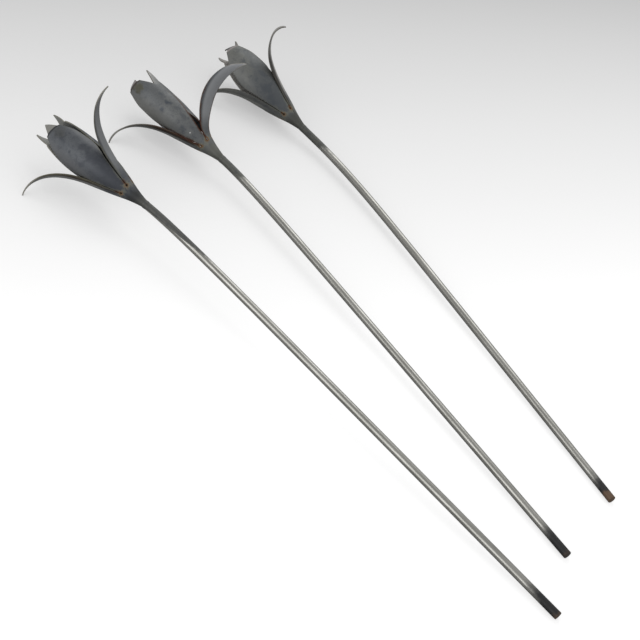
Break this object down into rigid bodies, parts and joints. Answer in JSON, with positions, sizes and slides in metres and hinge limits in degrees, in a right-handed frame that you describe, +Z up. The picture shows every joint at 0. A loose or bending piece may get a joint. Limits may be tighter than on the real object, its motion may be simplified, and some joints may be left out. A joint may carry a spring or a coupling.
{
  "type": "forged steel lily sculpture",
  "caption": "Forged steel lilies lying side by side: slit and curled sheet heads with long petals, welded to plain round bar stems.",
  "frame": {"origin": "middle of the whole at the floor that the lilies lie on", "axes": "+X from the flower heads to the free ends of the stems, along the middle stem; +Y from the near lily to the far one; +Z up"},
  "size_m": [1.2384, 0.654, 0.199],
  "materials": {
    "bar_steel": "bare rolled bar, semi-bright along its length, heat-darkened at both ends",
    "weld_steel": "dressed weld, dark and matte",
    "scaled_sheet_steel": "blue-grey forge scale, mottled, with rust in the slits"
  },
  "bodies": {
    "root": {"near_lily_stem": "bar_steel", "near_lily_neck_weld": "weld_steel", "near_lily_flower_head": "scaled_sheet_steel", "middle_lily_stem": "bar_steel", "middle_lily_neck_weld": "weld_steel", "middle_lily_flower_head": "scaled_sheet_steel", "far_lily_stem": "bar_steel", "far_lily_neck_weld": "weld_steel", "far_lily_flower_head": "scaled_sheet_steel"}
  },
  "joints": []
}
